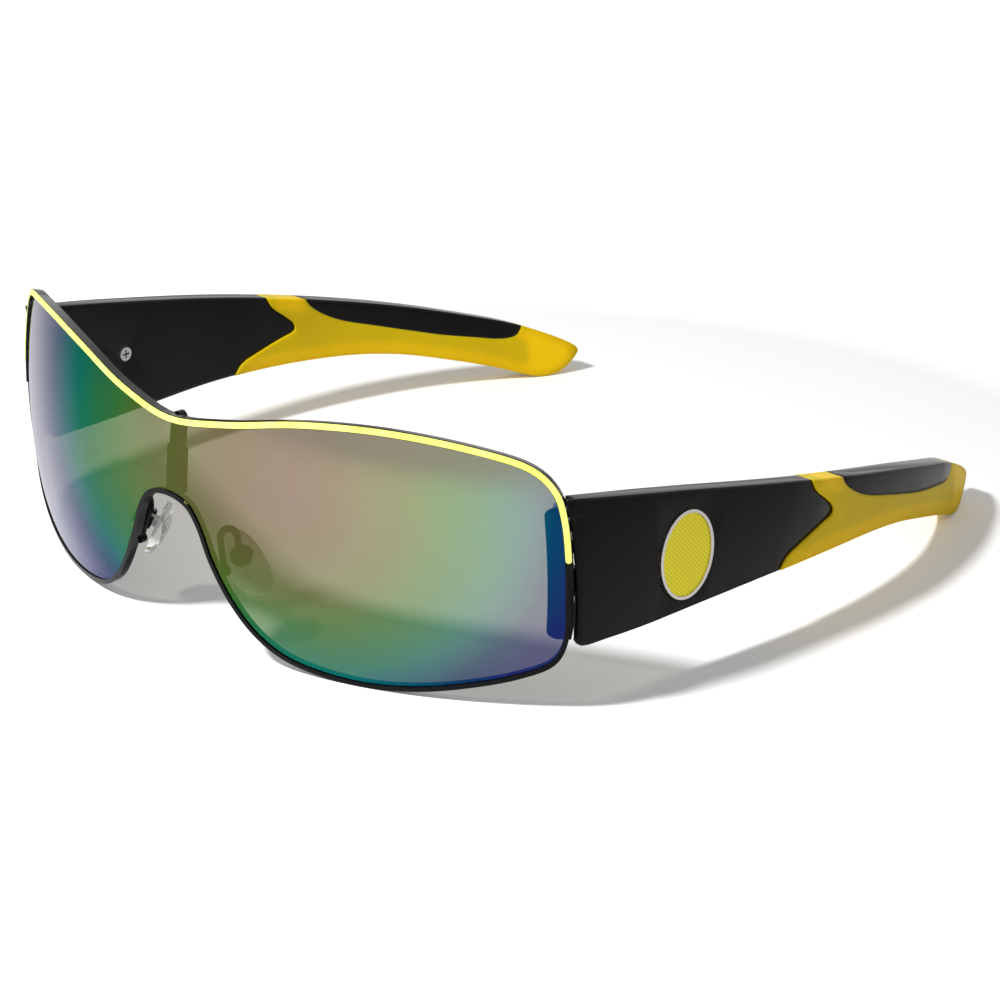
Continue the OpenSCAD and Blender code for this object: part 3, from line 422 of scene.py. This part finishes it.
def white_table():
    """White laminate. The camera and the clear pieces see it whiter than the light that it throws back on
    the glasses, and plain white away from them, so it keeps its shadows and has no edge."""
    material, tree, place = new_material("white_table")
    path = add(tree, "ShaderNodeLightPath")
    seen = add(tree, "ShaderNodeMath", {
        0: path.outputs["Is Camera Ray"], 1: path.outputs["Is Transmission Ray"]}, operation="MAXIMUM")
    away = add(tree, "ShaderNodeVectorMath", {0: place}, operation="LENGTH")
    far = add(tree, "ShaderNodeMapRange", {
        "Value": away.outputs["Value"], "From Min": GREY_TO, "From Max": WHITE_FROM,
        "To Min": TABLE_GLOW, "To Max": 1.0})
    lift = add(tree, "ShaderNodeMath", {
        0: seen.outputs[0], 1: far.outputs["Result"]}, operation="MULTIPLY")
    shade = add(tree, "ShaderNodeMix", {
        "Factor": seen.outputs[0], 6: linear("#E8E8E8"), 7: linear("#FFFFFF")}, data_type="RGBA")
    paint = add(tree, "ShaderNodeBsdfDiffuse", {"Color": shade.outputs[2]})
    glow = add(tree, "ShaderNodeEmission", {"Strength": lift.outputs[0]})
    both = add(tree, "ShaderNodeAddShader", {0: paint.outputs[0], 1: glow.outputs[0]})
    add(tree, "ShaderNodeOutputMaterial", {"Surface": both.outputs[0]})
    return material


def plane(name, size, z):
    """A level square at height z."""
    mesh = bpy.data.meshes.new(name)
    half = size / 2
    mesh.from_pydata([(-half, -half, z), (half, -half, z), (half, half, z), (-half, half, z)], [],
                     [(0, 1, 2, 3)])
    obj = bpy.data.objects.new(name, mesh)
    scene.collection.objects.link(obj)
    return obj


floor = plane("table", TABLE_SIZE, cad_low.z)
floor.data.materials.append(white_table())

world = bpy.data.worlds.new("studio")
scene.world = world
world.use_nodes = True
world.node_tree.nodes.clear()
path = add(world.node_tree, "ShaderNodeLightPath")
camera_or_gloss = add(world.node_tree, "ShaderNodeMath", {
    0: path.outputs["Is Camera Ray"], 1: path.outputs["Is Glossy Ray"]}, operation="MAXIMUM")
seen = add(world.node_tree, "ShaderNodeMath", {
    0: camera_or_gloss.outputs[0], 1: path.outputs["Is Transmission Ray"]}, operation="MAXIMUM")
level = add(world.node_tree, "ShaderNodeMapRange", {
    "Value": seen.outputs[0], "To Min": SKY_FILL, "To Max": 1.0})
sky = add(world.node_tree, "ShaderNodeBackground", {
    "Color": (1, 1, 1, 1), "Strength": level.outputs["Result"]})
add(world.node_tree, "ShaderNodeOutputWorld", {"Surface": sky.outputs[0]})

lamp_data = bpy.data.lights.new("key_softbox", "AREA")
lamp_data.shape = "DISK"
lamp_data.size = LAMP_WIDTH
lamp_data.energy = LAMP_WATTS
lamp = bpy.data.objects.new("key_softbox", lamp_data)
scene.collection.objects.link(lamp)
lamp.location = LAMP_PLACE
lamp.rotation_mode = "QUATERNION"
lamp.rotation_quaternion = (LAMP_AIM - LAMP_PLACE).to_track_quat("-Z", "Y")

camera_data = bpy.data.cameras.new("photo_camera")
camera_data.sensor_width = SENSOR_WIDTH
camera_data.lens = FOCAL_LENGTH
camera_data.clip_start = CLIP_NEAR
camera_data.clip_end = CLIP_FAR
camera = bpy.data.objects.new("photo_camera", camera_data)
scene.collection.objects.link(camera)
back = CAMERA_BACK.normalized()
right = (CAMERA_RIGHT - back * CAMERA_RIGHT.dot(back)).normalized()
up = back.cross(right)
turn = Matrix((right, up, back)).transposed().to_4x4()
camera.matrix_world = Matrix.Translation(CAMERA_PLACE) @ turn
scene.camera = camera

scene.view_settings.view_transform = "Standard"
